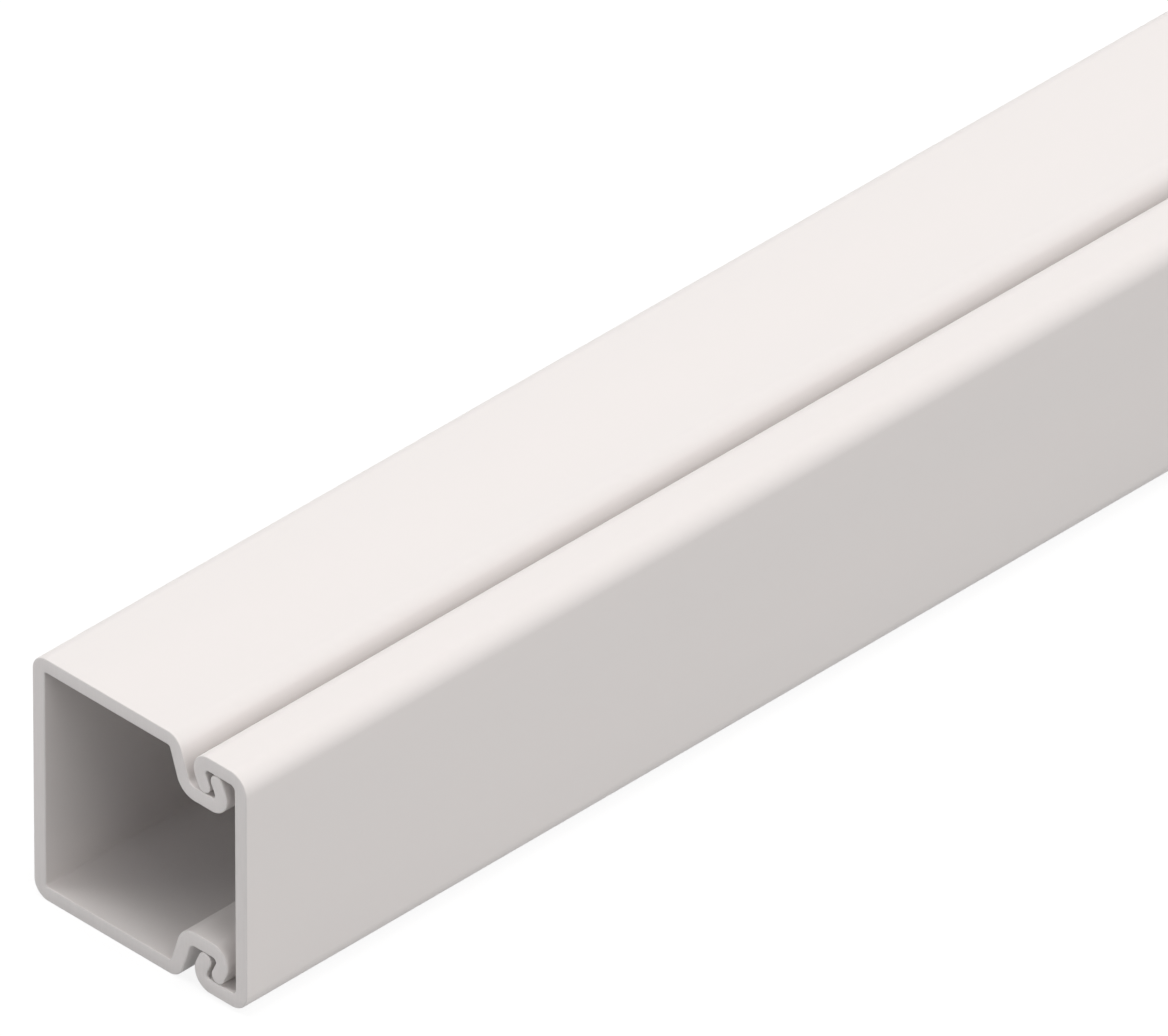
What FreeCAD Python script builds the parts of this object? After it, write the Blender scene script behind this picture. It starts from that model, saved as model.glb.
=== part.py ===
"""Surface cable trunking for hiding cords, in two extruded lengths of rigid PVC.

The base is a square channel that is screwed to a wall through the holes in its back. Both of its
sides step inwards near the mouth and end in a hook. The cover closes the mouth: its flanges curl
round into hooks of their own, and each holds one hook of the base.

Frame, in millimetres: X runs along the trunking, Y from the cover (-Y) to the back (+Y), and Z up.
The trunking lies on one side of its base, with the origin in the middle of its footprint.

A profile is a thin wall of even thickness, so it is drawn as the path of the wall's centreline in
the section plane, where "depth" is measured from the back face towards the cover. Its upper half is
the mirror image of its lower half.
"""

import math
import os

import FreeCAD, Part
from FreeCAD import Vector

# Whole object
LENGTH = 1000.0
HEIGHT = 20.0  # over the two sides of the base
DEPTH = 20.5  # from the back face to the face of the cover

# Walls and plain corners, where each radius is that of the inner face of the bend
BASE_WALL = 1.15
COVER_WALL = 1.15
BASE_CORNER_RADIUS = 0.2
COVER_CORNER_RADIUS = 0.4

# Step in the base's sides, just behind the cover
STEP_LEAN = 18.0  # degrees that the step leans forwards from square to the side
STEP_FOOT_RADIUS = 0.2  # where the side turns in
STEP_HEAD_RADIUS = 0.6  # where the step turns towards the cover
SHELF = 1.65  # flat stretch between the head of the step and the hook

# Hooks: the lips of the base and the cover lean over and lie side by side
HOOK_RADIUS = 0.3
LIP_LEAN = 25.0  # degrees from square to the shelf
LATCH_HEIGHT = 1.975  # clear height between the shelf of the base and the flange of the cover
LIP_GAP = 0.28  # between the two lips
TIP_GAP = 0.02  # between the tip of a lip and the wall that it points at
COVER_INSET = 0.275  # how far the cover's flanges lie inside the base's sides
FRONT_GAP = 0.75  # between the hook of the base and the inner face of the cover

# Fixing holes in the back
HOLE_DIAMETER = 4.5
HOLE_PITCH = 250.0

# Worked out: heights in the lower half of the section, and depths of the hooks
FLANGE_TOP = COVER_INSET + COVER_WALL
SHELF_FACE = FLANGE_TOP + LATCH_HEIGHT
LEAN = math.radians(LIP_LEAN)
BASE_HOOK_DEPTH = DEPTH - COVER_WALL - FRONT_GAP - BASE_WALL - HOOK_RADIUS
HOOKS_APART_IN_HEIGHT = LATCH_HEIGHT - 2 * HOOK_RADIUS
HOOKS_APART_IN_DEPTH = (
    LIP_GAP - 2 * HOOK_RADIUS + HOOKS_APART_IN_HEIGHT * math.sin(LEAN)
) / math.cos(LEAN)
COVER_HOOK_DEPTH = BASE_HOOK_DEPTH - HOOKS_APART_IN_DEPTH

# Heading in the section plane, in degrees from the way towards the cover
DOWN = -90.0


def run(distance):
    """A straight stretch of a wall's centreline."""
    return ("run", distance, 0.0)


def bend(inner_radius, wall, turn):
    """A bend of the centreline by an angle in degrees, anticlockwise if positive."""
    return ("bend", inner_radius + wall / 2, turn)


def section_point(depth, height):
    """A point of the section plane through the middle of the length."""
    return Vector(0, DEPTH / 2 - depth, height)


def follow(depth, height, heading, moves):
    """The edges that a list of runs and bends draws from a starting point, in a starting heading."""
    edges = []
    for kind, size, turn in moves:
        before, after = math.radians(heading), math.radians(heading + turn)
        start = section_point(depth, height)
        if kind == "run":
            depth += size * math.cos(before)
            height += size * math.sin(before)
            edges.append(Part.LineSegment(start, section_point(depth, height)).toShape())
            continue
        side = math.copysign(size, turn)
        centre_depth = depth - side * math.sin(before)
        centre_height = height + side * math.cos(before)

        def on_bend(angle):
            return centre_depth + side * math.sin(angle), centre_height - side * math.cos(angle)

        middle = section_point(*on_bend((before + after) / 2))
        depth, height = on_bend(after)
        edges.append(Part.Arc(start, middle, section_point(depth, height)).toShape())
        heading += turn
    return edges


def lip(wall):
    """The turn of a hook and the straight lip behind it, up to the middle of its round tip."""
    rise_of_turn = HOOK_RADIUS + (HOOK_RADIUS + wall / 2) * math.sin(LEAN)
    rise = LATCH_HEIGHT - TIP_GAP - wall / 2 - rise_of_turn
    return [bend(HOOK_RADIUS, wall, -90.0 - LIP_LEAN), run(rise / math.cos(LEAN))]


def base_side():
    """The lower side of the base, from the back corner to the tip of its hook."""
    step_turn = 90.0 - STEP_LEAN
    foot = STEP_FOOT_RADIUS + BASE_WALL / 2
    head = STEP_HEAD_RADIUS + BASE_WALL / 2
    turn = math.radians(step_turn)
    web = (SHELF_FACE - (foot + head) * (1 - math.cos(turn))) / math.sin(turn)
    step_depth = (foot + head) * math.sin(turn) + web * math.cos(turn)
    side = BASE_HOOK_DEPTH - SHELF - step_depth - BASE_WALL - BASE_CORNER_RADIUS
    return [
        bend(BASE_CORNER_RADIUS, BASE_WALL, 90.0),
        run(side),
        bend(STEP_FOOT_RADIUS, BASE_WALL, step_turn),
        run(web),
        bend(STEP_HEAD_RADIUS, BASE_WALL, -step_turn),
        run(SHELF),
        *lip(BASE_WALL),
    ]


def cover_side():
    """The lower flange of the cover, from the front corner to the tip of its hook."""
    flange = DEPTH - COVER_WALL - COVER_CORNER_RADIUS - COVER_HOOK_DEPTH
    return [
        bend(COVER_CORNER_RADIUS, COVER_WALL, -90.0),
        run(flange),
        *lip(COVER_WALL),
    ]


def extrude(wall, wall_depth, corner_height, moves):
    """A length of profile: a straight wall at one depth, and the same side below and above it."""
    lower = follow(wall_depth, corner_height, DOWN, moves)
    upper = [edge.mirror(Vector(0, 0, HEIGHT / 2), Vector(0, 0, 1)) for edge in lower]
    corners = (corner_height, HEIGHT - corner_height)
    straight = Part.LineSegment(*(section_point(wall_depth, z) for z in corners)).toShape()
    path = Part.Wire(Part.sortEdges([*upper, straight, *lower])[0])
    outline = path.makeOffset2D(wall / 2)
    profile = Part.Face(outline).extrude(Vector(LENGTH, 0, 0))
    profile.translate(Vector(-LENGTH / 2, 0, 0))
    return profile.removeSplitter()


def fixing_holes():
    """The row of round holes along the middle of the back wall."""
    count = int(LENGTH // HOLE_PITCH)
    first = -(count - 1) / 2 * HOLE_PITCH
    back_face = section_point(0, HEIGHT / 2)
    return [
        Part.makeCylinder(
            HOLE_DIAMETER / 2,
            BASE_WALL,
            back_face + Vector(first + i * HOLE_PITCH, 0, 0),
            Vector(0, -1, 0),
        )
        for i in range(count)
    ]


def base_channel():
    """The channel with its stepped sides, its hooks and the holes in its back."""
    corner = BASE_WALL + BASE_CORNER_RADIUS
    channel = extrude(BASE_WALL, BASE_WALL / 2, corner, base_side())
    return channel.cut(fixing_holes())


def cover():
    """The cover, whose flanges lie a little inside the sides of the base."""
    corner = FLANGE_TOP + COVER_CORNER_RADIUS
    return extrude(COVER_WALL, DEPTH - COVER_WALL / 2, corner, cover_side())


os.makedirs("parts", exist_ok=True)
for name, make in {"base_channel": base_channel, "cover": cover}.items():
    shape = make()
    shape.exportStep(f"parts/{name}.step")
    print(f"{name}: {shape.Volume / 1000:.2f} cm3, valid {shape.isValid()}, box {shape.BoundBox}")
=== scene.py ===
"""Looks of a surface cable trunking: a PVC channel and the cover that is hooked into it.

Both profiles are drawn again from the same sizes as the solids, with finer bends, broken edges at
the sawn ends and rolled edges at the screw holes. Blender works in metres, and the sizes of the part
are in millimetres.
"""

import math

import bmesh
import bpy
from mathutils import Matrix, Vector


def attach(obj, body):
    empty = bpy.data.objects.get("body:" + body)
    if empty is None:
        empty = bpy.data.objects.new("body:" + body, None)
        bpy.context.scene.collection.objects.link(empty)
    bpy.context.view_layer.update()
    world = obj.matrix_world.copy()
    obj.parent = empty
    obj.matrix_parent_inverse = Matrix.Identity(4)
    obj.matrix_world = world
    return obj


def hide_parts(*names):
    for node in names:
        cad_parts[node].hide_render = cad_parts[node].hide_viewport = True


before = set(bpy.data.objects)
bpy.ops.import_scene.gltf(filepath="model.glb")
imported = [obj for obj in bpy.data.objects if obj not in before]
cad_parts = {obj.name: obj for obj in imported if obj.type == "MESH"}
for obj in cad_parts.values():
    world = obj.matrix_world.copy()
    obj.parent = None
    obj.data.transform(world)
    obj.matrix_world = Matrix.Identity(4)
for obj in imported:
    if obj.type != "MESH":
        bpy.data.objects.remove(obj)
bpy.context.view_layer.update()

MM = 0.001

# Whole object
LENGTH = 1000.0
HEIGHT = 20.0  # over the two sides of the base
DEPTH = 20.5  # from the back face to the face of the cover

# Walls and plain corners, where each radius is that of the inner face of the bend
BASE_WALL = 1.15
COVER_WALL = 1.15
BASE_CORNER_RADIUS = 0.2
COVER_CORNER_RADIUS = 0.4

# Step in the base's sides, just behind the cover
STEP_LEAN = 18.0  # degrees that the step leans forwards from square to the side
STEP_FOOT_RADIUS = 0.2  # where the side turns in
STEP_HEAD_RADIUS = 0.6  # where the step turns towards the cover
SHELF = 1.65  # flat stretch between the head of the step and the hook

# Hooks: the lips of the base and the cover lean over and lie side by side
HOOK_RADIUS = 0.3
LIP_LEAN = 25.0  # degrees from square to the shelf
LATCH_HEIGHT = 1.975  # clear height between the shelf of the base and the flange of the cover
LIP_GAP = 0.28  # between the two lips
TIP_GAP = 0.02  # between the tip of a lip and the wall that it points at
COVER_INSET = 0.275  # how far the cover's flanges lie inside the base's sides
FRONT_GAP = 0.75  # between the hook of the base and the inner face of the cover

# Fixing holes in the back
HOLE_DIAMETER = 4.5
HOLE_PITCH = 250.0
HOLE_BURR = 0.12  # how far the punched edge is rolled over
BURR_MIDDLE = (0.3, 0.45)  # a point on the rolled edge, in shares of it: into the hole, off its wall
CUTTER_REACH = 1.0  # how far the cutter of a hole stands out of both faces
HOLE_SIDES = 64

# Fineness of the drawn profiles
BEND_STEP = 5.0  # degrees
TIP_STEPS = 16
EDGE_LOOP = 0.08  # from a bend to the nearest loop on the flat beside it
CUT_EDGE = 0.09  # radius of the broken edge of a sawn end
CUT_EDGE_STEPS = 4
BAYS = 40  # faces along the length
SHARP_FROM = 25.0  # degrees, over the steps of the round edges and under those of the rolled ones

# Worked out: heights in the lower half of the section, and depths of the hooks
FLANGE_TOP = COVER_INSET + COVER_WALL
SHELF_FACE = FLANGE_TOP + LATCH_HEIGHT
LEAN = math.radians(LIP_LEAN)
BASE_HOOK_DEPTH = DEPTH - COVER_WALL - FRONT_GAP - BASE_WALL - HOOK_RADIUS
HOOKS_APART_IN_HEIGHT = LATCH_HEIGHT - 2 * HOOK_RADIUS
HOOKS_APART_IN_DEPTH = (
    LIP_GAP - 2 * HOOK_RADIUS + HOOKS_APART_IN_HEIGHT * math.sin(LEAN)
) / math.cos(LEAN)
COVER_HOOK_DEPTH = BASE_HOOK_DEPTH - HOOKS_APART_IN_DEPTH

# Heading in the section plane, in degrees from the way towards the cover
DOWN = -90.0

# The second material of a profile, that of its sawn ends
CUT_MATERIAL = 1


def run(distance):
    """A straight stretch of a wall's centreline."""
    return ("run", distance, 0.0)


def bend(inner_radius, wall, turn):
    """A bend of the centreline by an angle in degrees, anticlockwise if positive."""
    return ("bend", inner_radius + wall / 2, turn)


def lip(wall):
    """The turn of a hook and the straight lip behind it, up to the middle of its round tip."""
    rise_of_turn = HOOK_RADIUS + (HOOK_RADIUS + wall / 2) * math.sin(LEAN)
    rise = LATCH_HEIGHT - TIP_GAP - wall / 2 - rise_of_turn
    return [bend(HOOK_RADIUS, wall, -90.0 - LIP_LEAN), run(rise / math.cos(LEAN))]


def base_side():
    """The lower side of the base, from the back corner to the tip of its hook."""
    step_turn = 90.0 - STEP_LEAN
    foot = STEP_FOOT_RADIUS + BASE_WALL / 2
    head = STEP_HEAD_RADIUS + BASE_WALL / 2
    turn = math.radians(step_turn)
    web = (SHELF_FACE - (foot + head) * (1 - math.cos(turn))) / math.sin(turn)
    step_depth = (foot + head) * math.sin(turn) + web * math.cos(turn)
    side = BASE_HOOK_DEPTH - SHELF - step_depth - BASE_WALL - BASE_CORNER_RADIUS
    return [
        bend(BASE_CORNER_RADIUS, BASE_WALL, 90.0),
        run(side),
        bend(STEP_FOOT_RADIUS, BASE_WALL, step_turn),
        run(web),
        bend(STEP_HEAD_RADIUS, BASE_WALL, -step_turn),
        run(SHELF),
        *lip(BASE_WALL),
    ]


def cover_side():
    """The lower flange of the cover, from the front corner to the tip of its hook."""
    flange = DEPTH - COVER_WALL - COVER_CORNER_RADIUS - COVER_HOOK_DEPTH
    return [
        bend(COVER_CORNER_RADIUS, COVER_WALL, -90.0),
        run(flange),
        *lip(COVER_WALL),
    ]


def centreline(depth, corner_height, moves):
    """Stations (depth, height, heading) along a whole profile, from its upper tip to its lower one."""
    height, heading = corner_height, DOWN
    lower = [(depth, height + EDGE_LOOP, heading), (depth, height, heading)]
    for kind, size, turn in moves:
        before = math.radians(heading)
        if kind == "run":
            for distance in (EDGE_LOOP, size - EDGE_LOOP, size):
                on_run = depth + distance * math.cos(before), height + distance * math.sin(before)
                lower.append((*on_run, heading))
        else:
            side = math.copysign(size, turn)
            centre_depth = depth - side * math.sin(before)
            centre_height = height + side * math.cos(before)
            steps = math.ceil(abs(turn) / BEND_STEP)
            for i in range(1, steps + 1):
                at = heading + turn * i / steps
                now = math.radians(at)
                on_bend = centre_depth + side * math.sin(now), centre_height - side * math.cos(now)
                lower.append((*on_bend, at))
            heading += turn
        depth, height = lower[-1][:2]
    upper = [(d, HEIGHT - h, 180.0 - a) for d, h, a in reversed(lower)]
    return upper + lower


def section(stations, half_wall):
    """The outline of a wall about its centreline: left side, lower tip, right side, upper tip."""

    def beside(station, side):
        """The point of a face beside a station, 1 for the left face and -1 for the right one."""
        depth, height, heading = station
        angle = math.radians(heading)
        return (
            depth - side * math.sin(angle) * half_wall,
            height + side * math.cos(angle) * half_wall,
        )

    def tip(station, first):
        """The points of a round tip between the two faces, from an angle off its heading."""
        depth, height, heading = station
        points = []
        for i in range(1, TIP_STEPS):
            angle = math.radians(heading + first - 180.0 * i / TIP_STEPS)
            points.append(
                (depth + math.cos(angle) * half_wall, height + math.sin(angle) * half_wall)
            )
        return points

    left = [beside(s, 1) for s in stations]
    right = [beside(s, -1) for s in stations]
    return left + tip(stations[-1], 90.0) + right[::-1] + tip(stations[0], -90.0)


def rings_along(wall):
    """Places along the length, each with half the wall there: it thins at the broken edges."""
    half = LENGTH / 2
    edge = []
    for i in range(CUT_EDGE_STEPS):
        angle = math.radians(90.0 * i / CUT_EDGE_STEPS)
        from_end = CUT_EDGE * (1 - math.cos(angle))
        inset = CUT_EDGE * (1 - math.sin(angle))
        edge.append((-half + from_end, wall / 2 - inset))
    plain_half = half - CUT_EDGE
    plain = [(-plain_half + 2 * plain_half * i / BAYS, wall / 2) for i in range(BAYS + 1)]
    return edge + plain + [(-x, half_wall) for x, half_wall in reversed(edge)]


def place(x, depth, height):
    """A point of the row frame, in metres, from millimetres along, from the back and up."""
    return Vector((x, DEPTH / 2 - depth, height)) * MM


def join_rings(mesh, rings):
    """Smooth faces between each ring of points and the next."""
    count = len(rings[0])
    for one, two in zip(rings, rings[1:]):
        for i in range(count):
            j = (i + 1) % count
            mesh.faces.new((one[i], one[j], two[j], two[i])).smooth = True


def close_end(mesh, ring, across, flip):
    """Closes a sawn end with strips across the wall and a face on each tip."""
    tip = TIP_STEPS - 1
    left = ring[:across]
    lower_tip = ring[across : across + tip]
    right = ring[across + tip : 2 * across + tip][::-1]
    upper_tip = ring[2 * across + tip :]
    caps = [(left[i], left[i + 1], right[i + 1], right[i]) for i in range(across - 1)]
    caps.append((left[-1], *lower_tip, right[-1]))
    caps.append((right[0], *upper_tip, left[0]))
    for corners in caps:
        face = mesh.faces.new(corners[::-1] if flip else corners)
        face.material_index = CUT_MATERIAL


def make_object(name, mesh):
    """An object of the scene from a finished mesh."""
    bmesh.ops.recalc_face_normals(mesh, faces=mesh.faces)
    data = bpy.data.meshes.new(name)
    mesh.to_mesh(data)
    mesh.free()
    made = bpy.data.objects.new(name, data)
    bpy.context.scene.collection.objects.link(made)
    return made


def profile(name, wall, depth, corner_height, moves, skin, cut):
    """A length of profile, with its sawn ends in a material of their own."""
    stations = centreline(depth, corner_height, moves)
    mesh = bmesh.new()
    rings = []
    for x, half_wall in rings_along(wall):
        rings.append([mesh.verts.new(place(x, d, h)) for d, h in section(stations, half_wall)])
    join_rings(mesh, rings)
    close_end(mesh, rings[0], len(stations), flip=True)
    close_end(mesh, rings[-1], len(stations), flip=False)
    piece = make_object(name, mesh)
    piece.data.materials.append(skin)
    piece.data.materials.append(cut)
    return piece


def hole_cutter(x):
    """A turned cutter for one punched hole, wider where it breaks both faces of the back wall."""
    radius = HOLE_DIAMETER / 2
    into, off = BURR_MIDDLE
    rolled = [
        (-CUTTER_REACH, radius + HOLE_BURR),
        (0.0, radius + HOLE_BURR),
        (HOLE_BURR * into, radius + HOLE_BURR * off),
        (HOLE_BURR, radius),
    ]
    mesh = bmesh.new()
    rings = []
    for depth, r in rolled + [(BASE_WALL - depth, r) for depth, r in reversed(rolled)]:
        ring = []
        for i in range(HOLE_SIDES):
            angle = 2 * math.pi * i / HOLE_SIDES
            point = place(x + r * math.cos(angle), depth, HEIGHT / 2 + r * math.sin(angle))
            ring.append(mesh.verts.new(point))
        rings.append(ring)
    join_rings(mesh, rings)
    mesh.faces.new(rings[0])
    mesh.faces.new(rings[-1])
    return make_object("hole_cutter", mesh)


def punch(piece):
    """Cuts the row of fixing holes out of the back of the base."""
    count = int(LENGTH // HOLE_PITCH)
    for i in range(count):
        cutter = hole_cutter((i - (count - 1) / 2) * HOLE_PITCH)
        cut = piece.modifiers.new("hole", "BOOLEAN")
        cut.operation = "DIFFERENCE"
        cut.solver = "EXACT"
        cut.object = cutter
        bpy.context.view_layer.update()
        shape = piece.evaluated_get(bpy.context.evaluated_depsgraph_get())
        data = bpy.data.meshes.new_from_object(shape)
        piece.modifiers.clear()
        piece.data = data
        bpy.data.objects.remove(cutter)


# Materials

PVC_IOR = 1.53
SKIN_COLOURS = ((0.777, 0.74, 0.724), (0.762, 0.731, 0.717))
SKIN_ROUGHNESS = (0.36, 0.46)
# Painted light: the sawn ends are the same PVC as the skin, coloured lighter to stand in for light
# falling on the ends
SAWN_COLOURS_PAINTED_LIGHT = ((0.859, 0.82, 0.803), (0.834, 0.799, 0.783))
SAWN_ROUGHNESS = (0.5, 0.62)
NOISE_RANGE = (0.3, 0.7)  # the range that most of a noise lies in


class Nodes:
    """Short calls for building the node tree of a material or of the world."""

    def __init__(self, owner):
        owner.use_nodes = True
        self.owner = owner
        self.tree = owner.node_tree
        self.shader = self.tree.nodes.get("Principled BSDF")

    def add(self, kind, **settings):
        """A new node with its own settings."""
        node = self.tree.nodes.new(kind)
        for key, value in settings.items():
            setattr(node, key, value)
        return node

    def join(self, source, target):
        """A link from an output to an input."""
        self.tree.links.new(source, target)

    def stretched_noise(self, scale, detail, roughness=0.5):
        """Noise in the object's own coordinates, with cells per metre along each axis."""
        where = self.add("ShaderNodeTexCoord")
        mapping = self.add("ShaderNodeMapping")
        mapping.inputs["Scale"].default_value = scale
        noise = self.add("ShaderNodeTexNoise")
        noise.inputs["Scale"].default_value = 1.0
        noise.inputs["Detail"].default_value = detail
        noise.inputs["Roughness"].default_value = roughness
        self.join(where.outputs["Object"], mapping.inputs["Vector"])
        self.join(mapping.outputs["Vector"], noise.inputs["Vector"])
        return noise.outputs["Fac"]

    def spread(self, value, low, high):
        """Maps the middle of a noise to a range."""
        node = self.add("ShaderNodeMapRange")
        node.inputs["From Min"].default_value = NOISE_RANGE[0]
        node.inputs["From Max"].default_value = NOISE_RANGE[1]
        node.inputs["To Min"].default_value = low
        node.inputs["To Max"].default_value = high
        self.join(value, node.inputs["Value"])
        return node.outputs["Result"]

    def tint(self, value, one, two):
        """Goes from one colour to another as a value goes from 0 to 1."""
        node = self.add("ShaderNodeMix", data_type="RGBA")
        node.inputs["A"].default_value = (*one, 1.0)
        node.inputs["B"].default_value = (*two, 1.0)
        self.join(value, node.inputs["Factor"])
        return node.outputs["Result"]

    def bump(self, height, distance, strength, before=None):
        """A bump whose full height is a distance in metres, on top of the one before it."""
        node = self.add("ShaderNodeBump")
        node.inputs["Strength"].default_value = strength
        node.inputs["Distance"].default_value = distance
        self.join(height, node.inputs["Height"])
        if before is not None:
            self.join(before, node.inputs["Normal"])
        return node.outputs["Normal"]


def extruded_pvc():
    """Rigid white PVC as it leaves the die: satin, with faint lines along its length."""
    n = Nodes(bpy.data.materials.new("extruded_pvc"))
    tone = n.stretched_noise(scale=(5.0, 90.0, 90.0), detail=2.0)
    lines = n.stretched_noise(scale=(4.0, 2600.0, 2600.0), detail=3.0, roughness=0.6)
    peel = n.stretched_noise(scale=(700.0, 900.0, 900.0), detail=2.0)
    colour = n.tint(n.spread(tone, 0.0, 1.0), *SKIN_COLOURS)
    n.join(colour, n.shader.inputs["Base Color"])
    n.join(n.spread(lines, *SKIN_ROUGHNESS), n.shader.inputs["Roughness"])
    n.shader.inputs["IOR"].default_value = PVC_IOR
    rippled = n.bump(peel, distance=0.00001, strength=0.35)
    drawn = n.bump(lines, distance=0.000006, strength=0.35, before=rippled)
    n.join(drawn, n.shader.inputs["Normal"])
    return n.owner


def sawn_pvc():
    """A sawn end: duller, with close marks of the blade across the wall, and painted lighter than the
    skin as painted light on the ends.
    """
    n = Nodes(bpy.data.materials.new("sawn_pvc"))
    marks = n.stretched_noise(scale=(400.0, 5200.0, 500.0), detail=3.0, roughness=0.6)
    crumbs = n.stretched_noise(scale=(6000.0, 6000.0, 6000.0), detail=2.0)
    colour = n.tint(n.spread(marks, 0.0, 1.0), *SAWN_COLOURS_PAINTED_LIGHT)
    n.join(colour, n.shader.inputs["Base Color"])
    n.join(n.spread(marks, *SAWN_ROUGHNESS), n.shader.inputs["Roughness"])
    n.shader.inputs["IOR"].default_value = PVC_IOR
    scored = n.bump(marks, distance=0.00002, strength=0.3)
    torn = n.bump(crumbs, distance=0.00001, strength=0.2, before=scored)
    n.join(torn, n.shader.inputs["Normal"])
    return n.owner


# The two pieces

SKIN = extruded_pvc()
CUT = sawn_pvc()

base = profile(
    "base_profile",
    BASE_WALL,
    BASE_WALL / 2,
    BASE_WALL + BASE_CORNER_RADIUS,
    base_side(),
    SKIN,
    CUT,
)
punch(base)
cover = profile(
    "cover_profile",
    COVER_WALL,
    DEPTH - COVER_WALL / 2,
    FLANGE_TOP + COVER_CORNER_RADIUS,
    cover_side(),
    SKIN,
    CUT,
)
for piece, body, node in ((base, "base", "base_channel"), (cover, "cover", "cover")):
    piece.data.set_sharp_from_angle(angle=math.radians(SHARP_FROM))
    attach(piece, body)
    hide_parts(node)


# Floor and background

FLOOR_RADIUS = 30.0  # metres
FLOOR_SIDES = 48
FLOOR_BOUNCE = 0.37  # share of the light that the floor sends back at the part
FLOOR_SHADE = 0.15  # how deep the part's shadow looks
FLOOR_LEVEL = 1.03  # what the lit floor shows the camera, where 1 is white
SKY = 0.16
WHITE = (1.0, 1.0, 1.0, 1.0)

# Colours of the studio light
LIGHT_COLOUR = (1.0, 0.985, 0.975)
FILL_COLOUR = (0.96, 0.975, 1.0)  # of the sky and of the lamps that light the sawn ends


def seen_directly(n):
    """1 for a ray from the camera, or one that gloss or clear material sends on, and 0 for light."""
    path = n.add("ShaderNodeLightPath")
    gloss = n.add("ShaderNodeMath", operation="MAXIMUM")
    n.join(path.outputs["Is Glossy Ray"], gloss.inputs[0])
    n.join(path.outputs["Is Transmission Ray"], gloss.inputs[1])
    either = n.add("ShaderNodeMath", operation="MAXIMUM")
    n.join(path.outputs["Is Camera Ray"], either.inputs[0])
    n.join(gloss.outputs["Value"], either.inputs[1])
    return either.outputs["Value"]


def see_through_from_below(n, shader):
    """Lets a camera under the floor see the part."""
    geometry = n.add("ShaderNodeNewGeometry")
    clear = n.add("ShaderNodeBsdfTransparent")
    mix = n.add("ShaderNodeMixShader")
    n.join(geometry.outputs["Backfacing"], mix.inputs["Fac"])
    n.join(shader, mix.inputs[1])
    n.join(clear.outputs["BSDF"], mix.inputs[2])
    n.join(mix.outputs["Shader"], n.tree.nodes["Material Output"].inputs["Surface"])


def floor_material():
    """A pale matt floor, which the camera sees as white with a soft shadow."""
    n = Nodes(bpy.data.materials.new("floor_paper"))
    n.shader.inputs["Base Color"].default_value = (FLOOR_BOUNCE, FLOOR_BOUNCE, FLOOR_BOUNCE, 1.0)
    n.shader.inputs["Roughness"].default_value = 1.0
    n.shader.inputs["Specular IOR Level"].default_value = 0.0
    seen = n.add("ShaderNodeBsdfDiffuse")
    seen.inputs["Color"].default_value = (FLOOR_SHADE, FLOOR_SHADE, FLOOR_SHADE, 1.0)
    glow = n.add("ShaderNodeEmission")
    glow.inputs["Color"].default_value = WHITE
    glow.inputs["Strength"].default_value = FLOOR_LEVEL - FLOOR_SHADE
    both = n.add("ShaderNodeAddShader")
    n.join(seen.outputs["BSDF"], both.inputs[0])
    n.join(glow.outputs["Emission"], both.inputs[1])
    mix = n.add("ShaderNodeMixShader")
    n.join(seen_directly(n), mix.inputs["Fac"])
    n.join(n.shader.outputs["BSDF"], mix.inputs[1])
    n.join(both.outputs["Shader"], mix.inputs[2])
    see_through_from_below(n, mix.outputs["Shader"])
    return n.owner


def make_floor():
    """A round floor under the part."""
    turns = [2 * math.pi * i / FLOOR_SIDES for i in range(FLOOR_SIDES)]
    rim = [(FLOOR_RADIUS * math.cos(a), FLOOR_RADIUS * math.sin(a), 0.0) for a in turns]
    data = bpy.data.meshes.new("floor")
    data.from_pydata(rim, [], [tuple(range(FLOOR_SIDES))])
    data.materials.append(floor_material())
    made = bpy.data.objects.new("floor", data)
    bpy.context.scene.collection.objects.link(made)
    return made


def make_world():
    """A faint even sky, which the camera and gloss see as white."""
    world = bpy.data.worlds.new("studio")
    bpy.context.scene.world = world
    n = Nodes(world)
    background = n.tree.nodes["Background"]
    direct = seen_directly(n)
    strength = n.add("ShaderNodeMix", data_type="FLOAT")
    strength.inputs["A"].default_value = SKY
    strength.inputs["B"].default_value = 1.0
    colour = n.add("ShaderNodeMix", data_type="RGBA")
    colour.inputs["A"].default_value = (*FILL_COLOUR, 1.0)
    colour.inputs["B"].default_value = WHITE
    for mix, socket in ((strength, "Strength"), (colour, "Color")):
        n.join(direct, mix.inputs["Factor"])
        n.join(mix.outputs["Result"], background.inputs[socket])


floor = make_floor()
make_world()


# Studio lamps: name, direction of the light, strength, softness in degrees and colour

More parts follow.
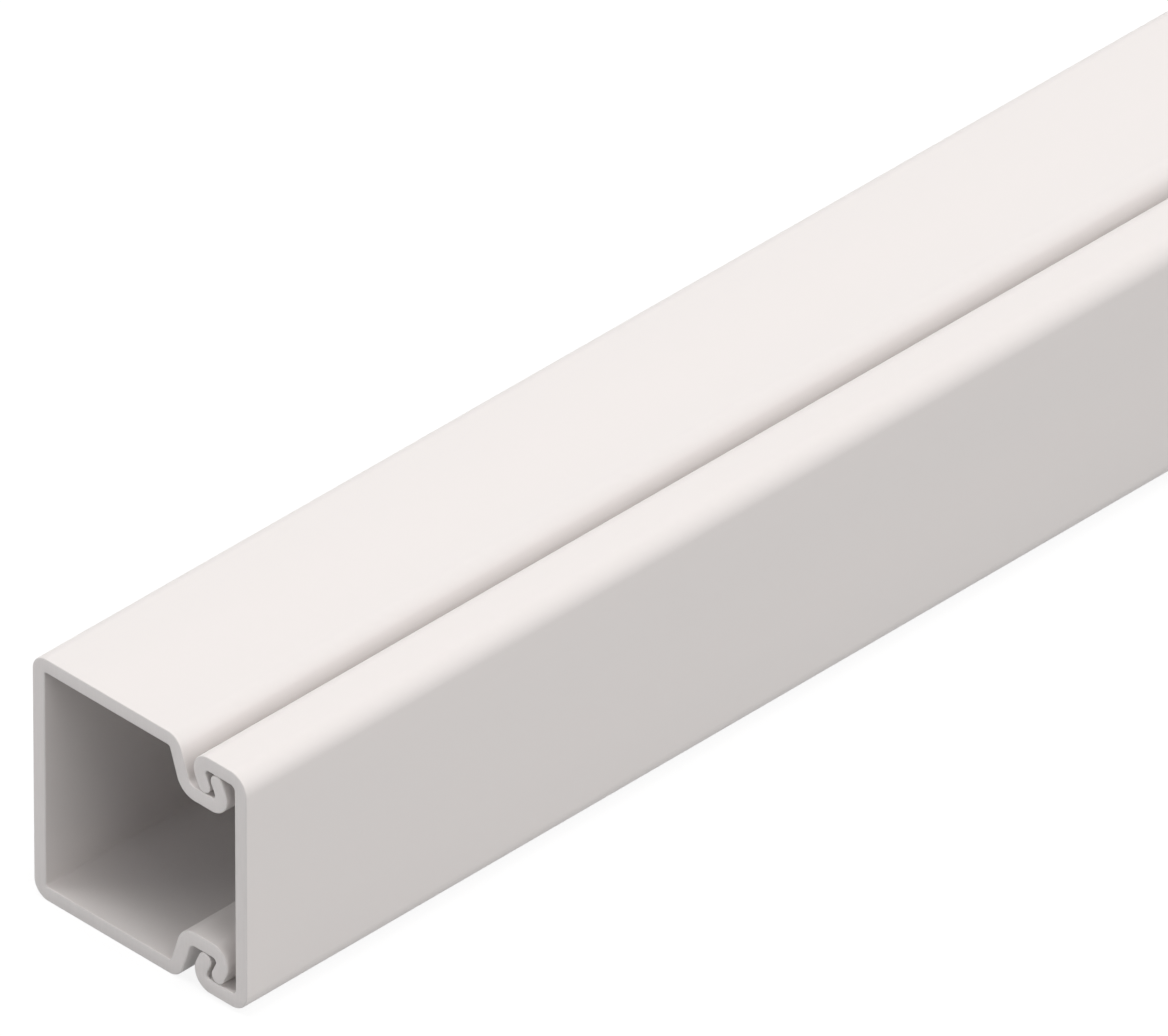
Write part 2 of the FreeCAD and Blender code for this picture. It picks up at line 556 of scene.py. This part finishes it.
LAMPS = (
    ("overhead", (0.0, 0.0, -1.0), 0.98, 25.0, LIGHT_COLOUR),
    ("from_the_cover_side", (-0.12, 1.0, -0.85), 1.77, 60.0, LIGHT_COLOUR),
    ("from_the_back", (0.17, -1.0, -1.0), 1.22, 60.0, LIGHT_COLOUR),
    ("from_the_near_end", (1.0, 0.0, -0.15), 0.55, 20.0, FILL_COLOUR),
    ("from_the_far_end", (-1.0, 0.0, -0.15), 0.55, 20.0, FILL_COLOUR),
)


def sun(name, towards, strength, softness, colour):
    """A distant soft lamp along a direction of the row frame, which gloss doesn't show."""
    data = bpy.data.lights.new(name, "SUN")
    data.energy = strength
    data.angle = math.radians(softness)
    data.color = colour
    lamp = bpy.data.objects.new(name, data)
    lamp.rotation_euler = Vector(towards).to_track_quat("-Z", "Y").to_euler()
    lamp.visible_glossy = False
    bpy.context.scene.collection.objects.link(lamp)


for lamp in LAMPS:
    sun(*lamp)


# Camera at the photo's angle, an isometric one, drawn with a very long lens

AZIMUTH = -44.89  # degrees, turned a little from -45 to share out what perspective is left
ELEVATION = math.degrees(math.atan(math.sqrt(0.5)))
LENS = 1500.0  # as the other views don't keep an orthographic camera
SENSOR = 36.0
FRAME_WIDTH = 79.145  # of the object, in millimetres, across the picture
LOOK_AT = Vector((-0.45284, 0.00508, 0.01001))
CLIP = (0.1, 100.0)  # metres

azimuth, elevation = math.radians(AZIMUTH), math.radians(ELEVATION)
back = Vector(
    (
        math.sin(azimuth) * math.cos(elevation),
        -math.cos(azimuth) * math.cos(elevation),
        math.sin(elevation),
    )
)
camera_data = bpy.data.cameras.new("camera")
camera_data.lens = LENS
camera_data.sensor_width = SENSOR
camera_data.sensor_fit = "HORIZONTAL"
camera_data.clip_start, camera_data.clip_end = CLIP
camera = bpy.data.objects.new("camera", camera_data)
camera.location = LOOK_AT + back * (FRAME_WIDTH * MM * LENS / SENSOR)
camera.rotation_euler = back.to_track_quat("Z", "Y").to_euler()
bpy.context.scene.collection.objects.link(camera)
bpy.context.scene.camera = camera

bpy.context.scene.view_settings.view_transform = "Standard"

bpy.context.view_layer.update()
